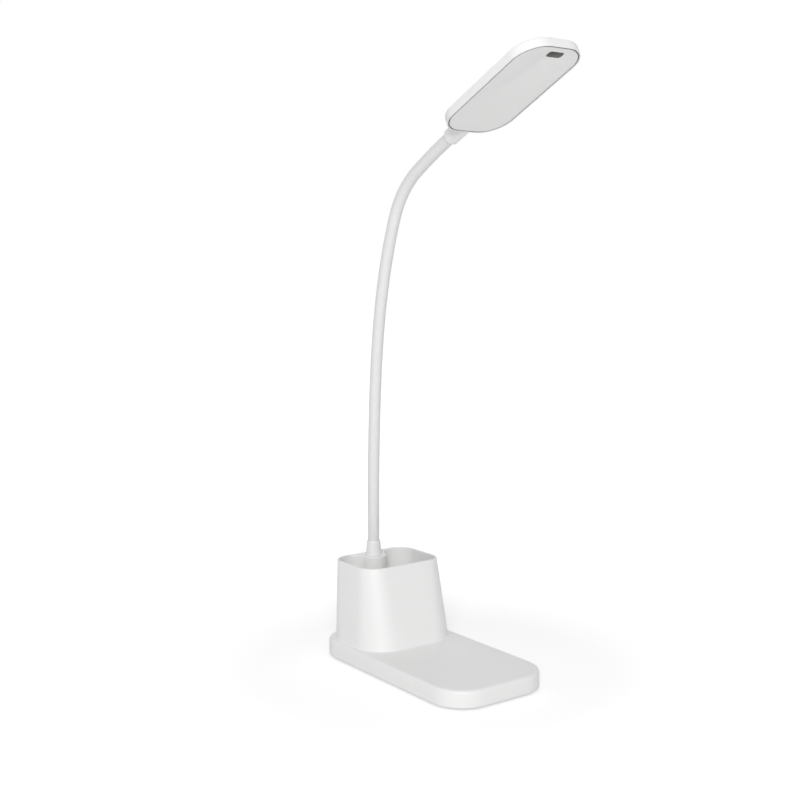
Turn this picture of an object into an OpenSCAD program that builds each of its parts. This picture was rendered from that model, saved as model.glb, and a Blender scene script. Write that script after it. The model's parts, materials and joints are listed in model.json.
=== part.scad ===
// Desk lamp with a pen cup. A low plate carries an open cup on its back half, a bendable neck
// rises from a boss in the cup's back wall, and a flat lighting head ends in line with the neck.
// Millimetres. Z is up and the desk is z = 0. The plate's front is -Y and X is its width.
// The origin is the middle of the plate, on the desk.

/* [Base plate] */
// Width of the plate
plate_w = 90; // [84:1:110]
// Length of the plate from front to back
plate_l = 172; // [166:1:200]
// Corner radius of the plate
plate_r = 25.4; // [22:0.2:30]
// Height of the plate's side
plate_h = 12.5; // [12:0.5:16]
// Rounding of the plate's top edge
plate_round = 2.5; // [1:0.1:3]
// Chamfer of the plate's bottom edge
plate_chamfer = 0.8; // [0.4:0.1:1.2]
// Wall of the base moulding
shell_wall = 2; // [1.6:0.1:2.4]

/* [Pen cup] */
// Height of the cup above the plate
cup_h = 60.4; // [45:0.2:80]
// Width of the cup at its foot
cup_foot_w = 82; // [78:0.5:83]
// Depth of the cup at its foot
cup_foot_l = 68; // [60:0.5:78]
// Corner radius of the cup at its foot
cup_foot_r = 24.4; // [16:0.1:28]
// Width of the cup at its rim
cup_rim_w = 71.2; // [64:0.2:80]
// Depth of the cup at its rim
cup_rim_l = 52.8; // [48:0.2:60]
// Corner radius of the cup at its rim
cup_rim_r = 14.9; // [10:0.1:20]
// Distance from the plate's back edge to the cup's foot
cup_foot_inset = 4.3; // [4:0.1:6]
// Distance from the plate's back edge to the cup's rim
cup_rim_inset = 5.2; // [4:0.1:8]
// Fillet between the cup and the plate
cup_fillet = 1.4; // [0.6:0.1:1.4]
// Rounding on each edge of the rim
rim_round = 0.8; // [0.4:0.1:0.9]
// Rounding between the cup's floor and its wall
floor_round = 3; // [1:0.5:6]

/* [Neck boss and collar] */
// Radius of the boss inside the cup
boss_r = 10; // [9.5:0.1:12]
// Radius where the boss's flanks run into the cup's rear wall
boss_flare = 10; // [4:0.5:10.5]
// Drop of the boss's top below the rim
boss_drop = 0.8; // [0.4:0.1:2]
// Thickness of the boss's top
boss_cap = 3; // [2.5:0.1:4]
// Radius of the collar at the boss
collar_r = 6.2; // [6:0.1:8]
// Gap between the collar and the cup's rear wall
collar_gap = 0.1; // [0.1:0.1:1]
// Radius of the collar at its top
collar_top_r = 5.3; // [5.2:0.1:5.8]
// Height of the collar
collar_h = 11.2; // [8:0.2:16]
// Radius of the threaded stem below the collar
stem_r = 3.8; // [3.6:0.1:4.2]
// Length of the threaded stem
stem_l = 9; // [8:0.5:12]
// Width of the neck's nut across its flats
nut_flats = 10.5; // [10:0.5:11]
// Thickness of the neck's nut
nut_h = 3.5; // [2:0.5:4.5]

/* [Neck] */
// Outer radius of the neck's sleeve
neck_r = 4.5; // [4.3:0.1:4.8]
// Outer radius of the steel hose inside the sleeve
hose_r = 2.8; // [2.5:0.1:3]
// Bore radius of the steel hose
hose_bore_r = 1.5; // [1.4:0.1:1.7]
// Radius of the lead inside the hose
lead_r = 1.2; // [0.8:0.1:1.3]
// Length of one link of the neck
link_l = 43.6; // [36:0.2:50]
// Bend of each link above the straight first one, in degrees, from the collar to the head
link_bend_angles = [2, 1.5, 4, 6, 7.5, 37, 6]; // [0:0.5:40]
// Largest turn of one neck joint in degrees
joint_turn = 24; // [10:1:25]
// Running gap of a neck joint
joint_gap = 0.1; // [0.05:0.01:0.15]

/* [Head] */
// Width of the head
head_w = 53.8; // [48:0.2:60]
// Length of the head
head_l = 102.2; // [98:0.2:120]
// Corner radius of the head
head_r = 19.2; // [17:0.1:23]
// Height of the head's side wall
head_side = 6.6; // [6.4:0.1:8]
// Rise of the head's back above its side wall
head_crown = 5.4; // [5:0.1:7]
// Rounding of the head's upper edge
head_round = 1.4; // [0.6:0.1:1.4]
// Wall of the head's housing
head_wall = 1.6; // [1.2:0.1:1.8]
// Thickness of the lip round the diffuser
head_lip = 0.8; // [0.8:0.1:1.3]
// Seat that the diffuser rests on, past the lip
diffuser_seat = 1.8; // [1.4:0.1:2]
// Gap between the lip and the diffuser
diffuser_gap = 0.8; // [0.3:0.1:0.8]
// Thickness of the diffuser
diffuser_t = 1.2; // [1:0.1:1.4]
// Depth of the diffuser's face inside the lip
diffuser_drop = 0.2; // [0.2:0.1:0.6]
// Height of the neck's axis above the head's lip
neck_rise = 6.2; // [6.2:0.1:6.8]
// Radius of the neck hump on the head's back
hump_r = 7.6; // [7.4:0.1:8]
// Length of the neck hump
hump_l = 22; // [20:0.5:30]

/* [Head ferrule] */
// Outer radius of the ferrule
ferrule_r = 6; // [5.6:0.1:6.4]
// Length of the ferrule behind the head
ferrule_l = 17.9; // [14:0.1:22]
// Chamfer of the ferrule's mouth
ferrule_chamfer = 1.2; // [0.6:0.1:1.3]
// Depth of the neck's sleeve in the ferrule
ferrule_seat = 10; // [6:0.5:12]
// Radius of the ferrule's spigot inside the head
spigot_r = 3.3; // [3.2:0.1:3.5]
// Length of the ferrule's spigot inside the head
spigot_l = 15.4; // [15.2:0.2:17]

/* [Lights] */
// Gap between the light board and the inside of the head's side wall
board_side_gap = 1.8; // [0.8:0.1:2.8]
// Gap between the light board and the inside of the head's nose
board_nose_gap = 1.6; // [1.4:0.1:3.4]
// Gap between the light board and the neck's clamp
board_clamp_gap = 3.2; // [3:0.1:5.6]
// Thickness of the light board
board_t = 1; // [0.8:0.1:1.2]
// Height of the light board's lower face above the lip
board_z = 3.8; // [3.6:0.1:4]
// Rows of light chips along the head
chip_rows = 6; // [4:1:7]
// Columns of light chips across the head
chip_columns = 4; // [4:2:4]
// Distance between rows of chips
chip_row_pitch = 11; // [8:0.5:11.5]
// Distance between columns of chips
chip_column_pitch = 10; // [9:0.5:11]
// Length of the touch window
window_l = 12.8; // [9:0.5:15]
// Width of the touch window
window_w = 6; // [4:0.2:6]
// Distance from the head's tip to the middle of the window
window_inset = 9.2; // [8.5:0.1:11]
// Distance of the window's middle to the right of the head's centre line
window_x = 2; // [0:0.5:3]

/* [Base underside] */
// Thickness of the bottom cover
cover_t = 2; // [1.6:0.1:2.2]
// Height of the plate above the desk
foot_h = 1.7; // [1.2:0.1:3]
// Depth of the groove that holds the foot ring
foot_groove = 0.6; // [0.4:0.1:1]
// Width of the foot ring's band
foot_band = 5; // [3:0.5:6]
// Distance from the plate's edge to the foot ring
foot_inset = 7; // [6:0.5:7]
// Distance of the cover's screws from the plate's middle line
cover_screw_x = 26; // [25:0.5:27]
// Distance of the end screws from the plate's ends
cover_screw_inset = 18; // [17:0.5:20]

/* [Base contents] */
// Width of the counterweight
weight_w = 64; // [50:1:66]
// Gap between the counterweight and the battery
weight_battery_gap = 10; // [10:1:26]
// Thickness of the counterweight
weight_t = 6; // [4:0.5:6]
// Distance from the plate's front edge to the counterweight
weight_inset = 26; // [25:0.5:27]
// Width of the battery cell
battery_w = 34; // [25:1:40]
// Length of the battery cell
battery_l = 44; // [30:1:44]
// Thickness of the battery cell
battery_t = 5.5; // [3:0.5:6.5]
// Distance from the plate's back edge to the battery
battery_inset = 26; // [25.5:0.5:27]
// Width of the control board
control_w = 36; // [33:1:40]
// Length of the control board
control_l = 21; // [20:0.5:21]
// Thickness of the control board
control_t = 1.2; // [0.8:0.2:1.6]
// Height of the control board's lower face above the cover
control_rise = 2.3; // [2:0.1:2.6]

/* [Screws] */
// Radius of the shank of a cover or weight screw
screw_r = 1.2; // [1:0.1:1.3]
// Radius of the head of a cover or weight screw
screw_head_r = 2.4; // [2:0.1:2.6]
// Height of a screw head
screw_head_h = 1.2; // [1:0.1:1.3]
// Radius of the shank of a small screw
small_screw_r = 0.9; // [0.8:0.1:1]
// Radius of the head of a small screw
small_head_r = 1.7; // [1.5:0.1:1.9]
// Wall of a screw post round its screw
post_wall = 1.6; // [1.2:0.1:1.8]
// Gap between pieces that fit together
fit_gap = 0.1; // [0.05:0.01:0.2]
// Gap between pieces that only lie side by side
free_gap = 0.3; // [0.2:0.05:0.4]

/* [Hidden] */
neck_links = len(link_bend_angles) + 1;
last_link = neck_links - 1;
$fn = 64;
// Overlap that joins the pieces of one moulding
SLIVER = 0.01;
// Flat steps in each rounded corner of a loft
CORNER_STEPS = 12;
// Sides and starting angles of a rounded rectangle's corners
CORNERS = [[1, 1, 0], [-1, 1, 90], [-1, -1, 180], [1, -1, 270]];

// Levels and edges of the base
cover_top = foot_h + cover_t;
plate_top = foot_h + plate_h;
roof_z = plate_top - shell_wall;
rim_z = plate_top + cup_h;
plate_back = plate_l / 2;
plate_front = -plate_l / 2;

// Counterweight, hung from the plate's roof, that fills the room in front of the battery
weight_l = plate_l - weight_inset - weight_battery_gap - battery_l - battery_inset;
weight_y = plate_front + weight_inset + weight_l / 2;
weight_gap = 0.5;
weight_top = cover_top + weight_gap + weight_t;
weight_corner_r = 5;
weight_screw_inset = 8;
weight_screw_places = [
    for (x = [-1, 1], y = [-1, 1])
        [x * (weight_w / 2 - weight_screw_inset), weight_y + y * (weight_l / 2 - weight_screw_inset)]
];

// Screws of the bottom cover: at both ends, and between the weight and the battery
middle_screw_gap = 6;
cover_screw_rows = [
    plate_front + cover_screw_inset,
    weight_y + weight_l / 2 + middle_screw_gap,
    plate_back - cover_screw_inset
];
cover_screw_places = [for (x = [-1, 1], y = cover_screw_rows) [x * cover_screw_x, y]];

// Control board, hung from the plate's roof behind the battery
control_y = plate_back - shell_wall - free_gap - control_l / 2;
control_z = cover_top + control_rise;
control_top = control_z + control_t;
control_screw_inset = 3;
control_corner_r = 1;
control_screw_places = [
    for (x = [-1, 1], y = [-1, 1])
        [x * (control_w / 2 - control_screw_inset), control_y + y * (control_l / 2 - control_screw_inset)]
];
chip_side = 6;
chip_h = 1.6;
chip_x = 9;

// USB-C socket on the control board
usb_w = 8.94;
usb_h = 3.26;
usb_l = 7.3;
usb_wall = 0.3;
usb_tongue_w = 6.7;
usb_tongue_t = 0.7;
usb_z = control_top + usb_h / 2;

// Battery, its plug and its leads
battery_y = plate_back - battery_inset - battery_l / 2;
battery_corner_r = 1;
battery_rib_t = 1.2;
battery_rib_h = 3;
battery_lead_r = 0.6;
battery_lead_z = (control_top + cover_top + battery_t) / 2;
plug_w = 6;
plug_l = 5;
plug_h = 4;
plug_y = control_y - control_l / 2;

// Neck boss, collar and nut
neck_y = plate_back - cup_rim_inset - shell_wall - collar_gap - collar_r;
boss_top = rim_z - boss_drop;
boss_under = boss_top - boss_cap;
// How far a flank's circle bites into the boss, so that the two cross cleanly
flare_bite = 0.02;
collar_floor = 2;
collar_foot_h = 1;
collar_round = 0.8;

// Neck joints: a link ends in a ball a little slimmer than the neck, whose root is set into the
// link's own wall, and the next link's socket starts high enough to clear it at full turn
ball_step = 0.2;
ball_r = neck_r - ball_step;
root_inset = 0.1;
root_l = 1.5;
lip_h = neck_r * sin(joint_turn) + joint_gap;
sleeve_bore_r = hose_r + fit_gap;
neck_start_z = boss_top + collar_floor;

// Head, in its own frame: the nose is -Y, and z = 0 is the edge of the lip
head_back = head_l / 2;
head_nose = -head_l / 2;
lip_chamfer = 0.2;
seat_z = diffuser_drop + diffuser_t;
seat_inset = head_lip + diffuser_seat;
roof_inner = head_side - head_wall;
// The crown springs from inside the rounded upper edge, and ends in a small flat
crown_edge = 0.8;
crown_dip = 0.05;
crown_r = 2;
crown_inset = head_r - crown_r;

// Clamp that holds the ferrule's spigot in the head
clamp_w = 22;
clamp_l = 8;
clamp_web = 0.8;
clamp_past = 1;
clamp_y = head_back - spigot_l + clamp_past;
clamp_z = neck_rise - spigot_r - fit_gap - clamp_web;
clamp_screw_x = 7.5;
clamp_bite = 2.2;
lead_reach = 6;
hose_setback = 2;

// Touch window and its spring
window_y = head_nose + window_inset;
window_flange = 0.8;
window_flange_t = 0.6;
spring_r = 2;
spring_wire_r = 0.25;
spring_turns = 2;
spring_steps = 18;
spring_sides = 6;

// Light board, its chips and its screws
board_w = head_w - 2 * seat_inset - 2 * board_side_gap;
board_nose = head_nose + seat_inset + board_nose_gap;
board_rear = clamp_y - board_clamp_gap;
board_l = board_rear - board_nose;
board_y = (board_rear + board_nose) / 2;
board_corner_r = head_r - seat_inset - board_side_gap;
light_middle_y = (board_rear + window_y) / 2;
light_chip_w = 2.8;
light_chip_l = 3.5;
light_chip_h = 0.8;
light_screw_l = 5.5;
light_screw_places = [
    for (x = [-1, 1], y = [-1, 1])
        [x * chip_column_pitch, light_middle_y + y * 2 * chip_row_pitch]
];

// ---------------------------------------------------------------- outlines and lofts

// One ring of a loft: a rounded rectangle [width, length, corner radius, middle y, height]
function ring_points(ring) = [
    for (corner = CORNERS, step = [0 : CORNER_STEPS])
        let (angle = corner[2] + 90 * step / CORNER_STEPS)
        [
            corner[0] * (ring[0] / 2 - ring[2]) + ring[2] * cos(angle),
            ring[3] + corner[1] * (ring[1] / 2 - ring[2]) + ring[2] * sin(angle),
            ring[4]
        ]
];

// Solid through a stack of rings, lowest first
module loft(rings) {
    count = 4 * (CORNER_STEPS + 1);
    top = (len(rings) - 1) * count;
    polyhedron(
        points = [for (ring = rings) each ring_points(ring)],
        faces = concat(
            [[for (k = [0 : count - 1]) k]],
            [
                for (level = [0 : len(rings) - 2], k = [0 : count - 1])
                    let (a = level * count, next = (k + 1) % count)
                    each [
                        [a + k, a + count + next, a + next],
                        [a + k, a + count + k, a + count + next]
                    ]
            ],
            [[for (k = [0 : count - 1]) top + count - 1 - k]]
        )
    );
}

module rounded_rect(w, l, r) {
    square([w - 2 * r, l], center = true);
    square([w, l - 2 * r], center = true);
    for (x = [-1, 1], y = [-1, 1])
        translate([x * (w / 2 - r), y * (l / 2 - r)])
            circle(r = r);
}

module rounded_block(w, l, r, h) {
    linear_extrude(h)
        rounded_rect(w, l, r);
}

// Section of a slab's edge, from its corner's centre to its outside
module edge_section(depth, h, top_round, chamfer) {
    difference() {
        union() {
            square([depth, h - top_round]);
            square([depth - top_round, h]);
            translate([depth - top_round, h - top_round])
                circle(r = top_round);
        }
        translate([depth, 0])
            rotate(45)
                square(chamfer * sqrt(2), center = true);
    }
}

// Rounded rectangle with a soft upper edge and a chamfered lower one
module soft_slab(w, l, r, h, top_round, chamfer) {
    core_w = w - 2 * r;
    core_l = l - 2 * r;
    translate([-core_w / 2, -core_l / 2, 0])
        cube([core_w, core_l, h]);
    for (side = [0, 180])
        rotate(side) {
            translate([core_w / 2, 0, 0])
                rotate([90, 0, 0])
                    linear_extrude(core_l, center = true)
                        edge_section(r, h, top_round, chamfer);
            translate([0, core_l / 2, 0])
                rotate([90, 0, 90])
                    linear_extrude(core_w, center = true)
                        edge_section(r, h, top_round, chamfer);
        }
    for (corner = CORNERS)
        translate([corner[0] * core_w / 2, corner[1] * core_l / 2, 0])
            rotate(corner[2])
                rotate_extrude(angle = 90)
                    edge_section(r, h, top_round, chamfer);
}

module tube(r_out, r_in, h) {
    difference() {
        cylinder(r = r_out, h = h);
        translate([0, 0, -1])
            cylinder(r = r_in, h = h + 2);
    }
}

// Screw pointing up, with the underside of its head at z = 0
module screw(shank_r, head_r, shank_l) {
    translate([0, 0, -screw_head_h])
        difference() {
            cylinder(r = head_r, h = screw_head_h);
            for (turn = [0, 90])
                rotate(turn)
                    translate([0, 0, screw_head_h / 4])
                        cube([head_r * 1.2, head_r / 4, screw_head_h / 2 + SLIVER], center = true);
        }
    cylinder(r = shank_r, h = shank_l);
}

// ---------------------------------------------------------------- base

// Outline of the cup at a height above the plate, moved in by an inset
function cup_ring(above, inset) =
    let (
        share = above / cup_h,
        w = cup_foot_w + share * (cup_rim_w - cup_foot_w) - 2 * inset,
        l = cup_foot_l + share * (cup_rim_l - cup_foot_l) - 2 * inset,
        r = cup_foot_r + share * (cup_rim_r - cup_foot_r) - inset,
        back = plate_back - cup_foot_inset - share * (cup_rim_inset - cup_foot_inset) - inset
    )
    [w, l, r, back - l / 2, plate_top + above];

// Outside of the cup, with the fillet at its foot and the soft rim
module cup_outside() {
    loft(concat(
        [cup_ring(-1, -cup_fillet)],
        [
            for (angle = [0 : 22.5 : 90])
                cup_ring(cup_fillet * (1 - cos(angle)), -cup_fillet * (1 - sin(angle)))
        ],
        [
            for (angle = [0 : 30 : 90])
                cup_ring(cup_h - rim_round * (1 - sin(angle)), rim_round * (1 - cos(angle)))
        ]
    ));
}

// Space inside the cup, with the rounding at its floor and at its rim
module cup_inside() {
    loft(concat(
        [
            for (angle = [0 : 22.5 : 90])
                cup_ring(floor_round * (1 - cos(angle)), shell_wall + floor_round * (1 - sin(angle)))
        ],
        [
            for (angle = [0 : 30 : 90])
                cup_ring(cup_h - rim_round * (1 - sin(angle)), shell_wall - rim_round * (1 - cos(angle)))
        ],
        [cup_ring(cup_h + 1, shell_wall - rim_round)]
    ));
}

// Half-round boss that stands in the cup, with flanks that sweep out into its rear wall
module boss_outside() {
    flare_y = collar_r + collar_gap - boss_flare;
    reach = boss_r + boss_flare - flare_bite;
    flare_x = sqrt(reach * reach - flare_y * flare_y);
    web_y = flare_y * boss_r / reach;
    translate([0, neck_y, roof_z])
        linear_extrude(boss_top - roof_z) {
            circle(r = boss_r);
            difference() {
                translate([-flare_x, web_y])
                    square([2 * flare_x, plate_back - neck_y - web_y]);
                for (side = [-1, 1])
                    translate([side * flare_x, flare_y])
                        circle(r = boss_flare);
            }
        }
}

// Space inside the boss, open to the plate, that leaves the cup's rear wall whole
module boss_inside() {
    intersection() {
        translate([0, neck_y, roof_z - 1])
            cylinder(r = boss_r - shell_wall, h = boss_under - roof_z + 1);
        loft([cup_ring(-shell_wall - 2, shell_wall), cup_ring(cup_h, shell_wall)]);
    }
}

// Post with a blind pilot hole, hanging from the plate's roof down to a height
module roof_posts(places, shank_r, from_z) {
    for (place = places)
        translate([place[0], place[1], from_z])
            tube(shank_r + fit_gap / 2 + post_wall, shank_r + fit_gap / 2, roof_z - from_z + SLIVER);
}

module pilot_holes(places, shank_r, from_z) {
    for (place = places)
        translate([place[0], place[1], from_z])
            cylinder(r = shank_r + fit_gap / 2, h = roof_z + shell_wall / 2 - from_z);
}

// Flat-sided outline with round ends
module slot_outline(w, h) {
    square([w - h, h], center = true);
    for (side = [-1, 1])
        translate([side * (w - h) / 2, 0])
            circle(r = h / 2);
}

module usb_outline(grow) {
    slot_outline(usb_w + 2 * grow, usb_h + 2 * grow);
}

module base_shell() {
    color("white") {
        difference() {
            union() {
                translate([0, 0, foot_h])
                    soft_slab(plate_w, plate_l, plate_r, plate_h, plate_round, plate_chamfer);
                cup_outside();
            }
            difference() {
                cup_inside();
                boss_outside();
            }
            boss_inside();
            translate([0, neck_y, boss_under - 1])
                cylinder(r = stem_r + free_gap, h = boss_cap + 2);
            translate([0, 0, foot_h - 1])
                rounded_block(
                    plate_w - 2 * shell_wall, plate_l - 2 * shell_wall, plate_r - shell_wall,
                    roof_z - foot_h + 1
                );
            pilot_holes(cover_screw_places, screw_r, roof_z - 1);
            pilot_holes(weight_screw_places, screw_r, roof_z - 1);
            pilot_holes(control_screw_places, small_screw_r, roof_z - 1);
            translate([0, plate_back + 1, usb_z])
                rotate([90, 0, 0])
                    linear_extrude(shell_wall + 2)
                        usb_outline(free_gap);
        }
        roof_posts(cover_screw_places, screw_r, cover_top);
        roof_posts(weight_screw_places, screw_r, weight_top);
        roof_posts(control_screw_places, small_screw_r, control_top);
    }
}

module foot_band_shape(grow) {
    w = plate_w - 2 * foot_inset;
    l = plate_l - 2 * foot_inset;
    r = plate_r - foot_inset;
    difference() {
        rounded_rect(w + 2 * grow, l + 2 * grow, r + grow);
        rounded_rect(w - 2 * foot_band - 2 * grow, l - 2 * foot_band - 2 * grow, r - foot_band - grow);
    }
}

module bottom_cover() {
    edge = shell_wall + fit_gap;
    rib_w = battery_w + 2 * free_gap;
    rib_l = battery_l + 2 * free_gap;
    color("white")
        difference() {
            union() {
                translate([0, 0, foot_h])
                    rounded_block(plate_w - 2 * edge, plate_l - 2 * edge, plate_r - edge, cover_t);
                // rib that keeps the battery in its place
                translate([0, battery_y, cover_top - SLIVER])
                    linear_extrude(battery_rib_h)
                        difference() {
                            square([rib_w + 2 * battery_rib_t, rib_l + 2 * battery_rib_t], center = true);
                            square([rib_w, rib_l], center = true);
                        }
            }
            translate([0, 0, foot_h - 1])
                linear_extrude(foot_groove + 1)
                    foot_band_shape(fit_gap);
            for (place = cover_screw_places)
                translate([place[0], place[1], foot_h - 1]) {
                    cylinder(r = screw_r + fit_gap, h = cover_t + 2);
                    cylinder(r = screw_head_r + free_gap, h = screw_head_h + 1);
                }
        }
}

module foot_ring() {
    color("gainsboro")
        linear_extrude(foot_h + foot_groove)
            foot_band_shape(0);
}

module cover_screws() {
    color("silver")
        for (place = cover_screw_places)
            translate([place[0], place[1], foot_h + screw_head_h])
                screw(screw_r, screw_head_r, roof_z - foot_h - screw_head_h);
}

module counterweight() {
    color("dimgray")
        difference() {
            translate([0, weight_y, weight_top - weight_t])
                rounded_block(weight_w, weight_l, weight_corner_r, weight_t);
            for (place = weight_screw_places)
                translate([place[0], place[1], weight_top - weight_t - 1]) {
                    cylinder(r = screw_r + fit_gap, h = weight_t + 2);
                    cylinder(r = screw_head_r + free_gap, h = screw_head_h + 1);
                }
        }
}

module weight_screws() {
    color("silver")
        for (place = weight_screw_places)
            translate([place[0], place[1], weight_top - weight_t + screw_head_h])
                screw(screw_r, screw_head_r, weight_t - screw_head_h + roof_z - weight_top);
}

module battery_cell() {
    color("lightblue")
        translate([0, battery_y, cover_top])
            linear_extrude(battery_t)
                rounded_rect(battery_w, battery_l, battery_corner_r);
}

// Plug on the control board that the battery's two leads run to
module battery_plug() {
    color("ivory")
        translate([-plug_w / 2, plug_y, control_top])
            cube([plug_w, plug_l, plug_h]);
}

module battery_leads() {
    color("firebrick")
        for (x = [-1, 1])
            translate([x * plug_w / 4, battery_y + battery_l / 2, battery_lead_z])
                rotate([-90, 0, 0])
                    cylinder(r = battery_lead_r, h = plug_y - battery_y - battery_l / 2);
}

module control_board() {
    color("seagreen")
        translate([0, control_y, control_z])
            difference() {
                rounded_block(control_w, control_l, control_corner_r, control_t);
                for (place = control_screw_places)
                    translate([place[0], place[1] - control_y, -1])
                        cylinder(r = small_screw_r + fit_gap, h = control_t + 2);
            }
}

module board_screws() {
    color("silver")
        for (place = control_screw_places)
            translate([place[0], place[1], control_z])
                screw(small_screw_r, small_head_r, roof_z - control_z);
}

// Charging controller and its coil, soldered on the control board
module control_chips() {
    color("dimgray")
        for (side = [-1, 1])
            translate([side * chip_x - chip_side / 2, control_y - chip_side / 2, control_top])
                cube([chip_side, chip_side, chip_h]);
}

module usb_socket() {
    color("silver")
        translate([0, plate_back - free_gap, usb_z])
            rotate([90, 0, 0]) {
                difference() {
                    linear_extrude(usb_l)
                        usb_outline(0);
                    translate([0, 0, -1])
                        linear_extrude(usb_l)
                            usb_outline(-usb_wall);
                }
                translate([-usb_tongue_w / 2, -usb_tongue_t / 2, 1])
                    cube([usb_tongue_w, usb_tongue_t, usb_l - 1.5]);
            }
}

// ---------------------------------------------------------------- neck

module lower_collar() {
    color("white")
        translate([0, neck_y, boss_top])
            rotate_extrude()
                difference() {
                    union() {
                        polygon([
                            [0, 0], [collar_r, 0], [collar_r, collar_foot_h],
                            [collar_top_r, collar_h - collar_round], [0, collar_h - collar_round]
                        ]);
                        square([collar_top_r - collar_round, collar_h]);
                        translate([collar_top_r - collar_round, collar_h - collar_round])
                            circle(r = collar_round);
                        translate([0, -stem_l])
                            square([stem_r, stem_l + 1]);
                    }
                    translate([0, -stem_l - 1])
                        square([sleeve_bore_r, stem_l + collar_h + 2]);
                    translate([0, collar_floor])
                        square([neck_r + fit_gap, collar_h]);
                }
}

module neck_nut() {
    color("silver")
        translate([0, neck_y, boss_under - nut_h])
            difference() {
                cylinder(r = nut_flats / sqrt(3), h = nut_h, $fn = 6);
                translate([0, 0, -1])
                    cylinder(r = stem_r + fit_gap, h = nut_h + 2);
            }
}

// Lean of the neck from upright where link number i starts, in degrees
// The first link stands straight in the collar.
function lean(i) = i <= 1 ? 0 : lean(i - 1) + link_bend_angles[i - 2];

// Depth and height that a bent link reaches from its start
function link_reach(i) =
    let (bend = lean(i + 1) - lean(i))
    bend == 0
        ? [-link_l * sin(lean(i)), link_l * cos(lean(i))]
        : link_l * 180 / (PI * bend) * [cos(lean(i + 1)) - cos(lean(i)), sin(lean(i + 1)) - sin(lean(i))];

// Depth and height where link number i starts
function link_start(i) = i == 0 ? [neck_y, neck_start_z] : link_start(i - 1) + link_reach(i - 1);

// Puts a thing at the start of link number i, with Z along the neck
module at_link(i) {
    start = link_start(i);
    translate([0, start[0], start[1]])
        rotate([lean(i), 0, 0])
            children();
}

module ring_section(r_out, r_in) {
    difference() {
        circle(r = r_out);
        if (r_in > 0)
            circle(r = r_in);
    }
}

// Round bar or tube that bends forward by an angle over a link's length
module bent_bar(r_out, r_in, bend) {
    radius = link_l * 180 / (PI * max(bend, 0.01));
    if (bend == 0)
        linear_extrude(link_l)
            ring_section(r_out, r_in);
    else
        translate([0, -radius, 0])
            rotate([90, 0, 90])
                rotate_extrude(angle = bend)
                    translate([radius, 0])
                        ring_section(r_out, r_in);
}

// Ball that ends a link, with its root in the link's wall
module ball_end(r_out, r_in) {
    root_in = r_in > 0 ? r_in + root_inset : 0;
    rotate_extrude()
        intersection() {
            translate([root_in, -root_l])
                square([min(r_out - root_inset, ball_r) - root_in, root_l + neck_r]);
            union() {
                circle(r = ball_r);
                translate([0, -root_l])
                    square([ball_r, root_l]);
            }
        }
}

// Straight stretch that runs on past a link's end, with its root in the link's wall
module straight_end(r_out, r_in, length) {
    translate([0, 0, -root_l])
        linear_extrude(root_l + length)
            ring_section(r_out - root_inset, r_in > 0 ? r_in + root_inset : 0);
}

// One link's stretch of a layer of the neck. It starts in a socket over the ball of the link
// below and ends in a ball of its own. The first and last links run on straight instead.
module neck_layer(i, r_out, r_in, below, above) {
    difference() {
        union() {
            at_link(i)
                if (i == 0)
                    translate([0, 0, -below])
                        linear_extrude(below + link_l)
                            ring_section(r_out, r_in);
                else
                    bent_bar(r_out, r_in, link_bend_angles[i - 1]);
            at_link(i + 1)
                if (i < last_link)
                    ball_end(r_out, r_in);
                else if (above > 0)
                    straight_end(r_out, r_in, above);
        }
        if (i > 0)
            at_link(i) {
                sphere(r = ball_r + joint_gap);
                translate([0, 0, -neck_r])
                    cylinder(r = 2 * neck_r, h = neck_r + lip_h);
            }
    }
}

module neck_sleeve(i) {
    color("whitesmoke")
        neck_layer(i, neck_r, sleeve_bore_r, 0, ferrule_seat - fit_gap);
}

module steel_hose(i) {
    color("silver")
        neck_layer(i, hose_r, hose_bore_r, stem_l + collar_floor, ferrule_l + spigot_l - hose_setback);
}

module lamp_lead(i) {
    color("gainsboro")
        neck_layer(i, lead_r, 0, neck_start_z - control_top, ferrule_l + spigot_l + lead_reach);
}

// ---------------------------------------------------------------- head

// Puts a thing made in the head's own frame on the end of the neck
module at_head() {
    at_link(neck_links)
        rotate([-90, 0, 0])
            translate([0, -head_back - ferrule_l, -neck_rise])
                children();
}

module head_ferrule() {
    color("white")
        at_link(neck_links)
            rotate_extrude()
                difference() {
                    union() {
                        polygon([
                            [0, 0], [ferrule_r - ferrule_chamfer, 0], [ferrule_r, ferrule_chamfer],
                            [ferrule_r, ferrule_l], [0, ferrule_l]
                        ]);
                        square([spigot_r, ferrule_l + spigot_l]);
                    }
                    square([neck_r + fit_gap, ferrule_seat]);
                    square([sleeve_bore_r, ferrule_l + spigot_l + 1]);
                }
}

// Shallow crown on the head's back, from an outline moved in by an inset, at a drop below the side
module crown(inset, drop) {
    loft(concat(
        [[head_w - 2 * inset, head_l - 2 * inset, head_r - inset, 0, head_side - drop - 1]],
        [
            for (share = [0 : 0.125 : 1])
                let (in = inset + (crown_inset - inset) * share)
                [
                    head_w - 2 * in, head_l - 2 * in, head_r - in, 0,
                    head_side - drop + head_crown * sin(90 * share)
                ]
        ]
    ));
}

// Half-round hump over the neck's end, with a round nose
module neck_hump() {
    translate([0, head_back, neck_rise])
        rotate([90, 0, 0])
            rotate_extrude(angle = 180)
                intersection() {
                    square([hump_r, hump_l + hump_r]);
                    union() {
                        square([hump_r, hump_l]);
                        translate([0, hump_l])
                            circle(r = hump_r);
                    }
                }
}

// Upper half of the clamp that holds the ferrule's spigot, part of the housing
module neck_cradle() {
    translate([-clamp_w / 2, clamp_y, neck_rise])
        cube([clamp_w, head_back - clamp_y, head_crown + head_side]);
}

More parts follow.
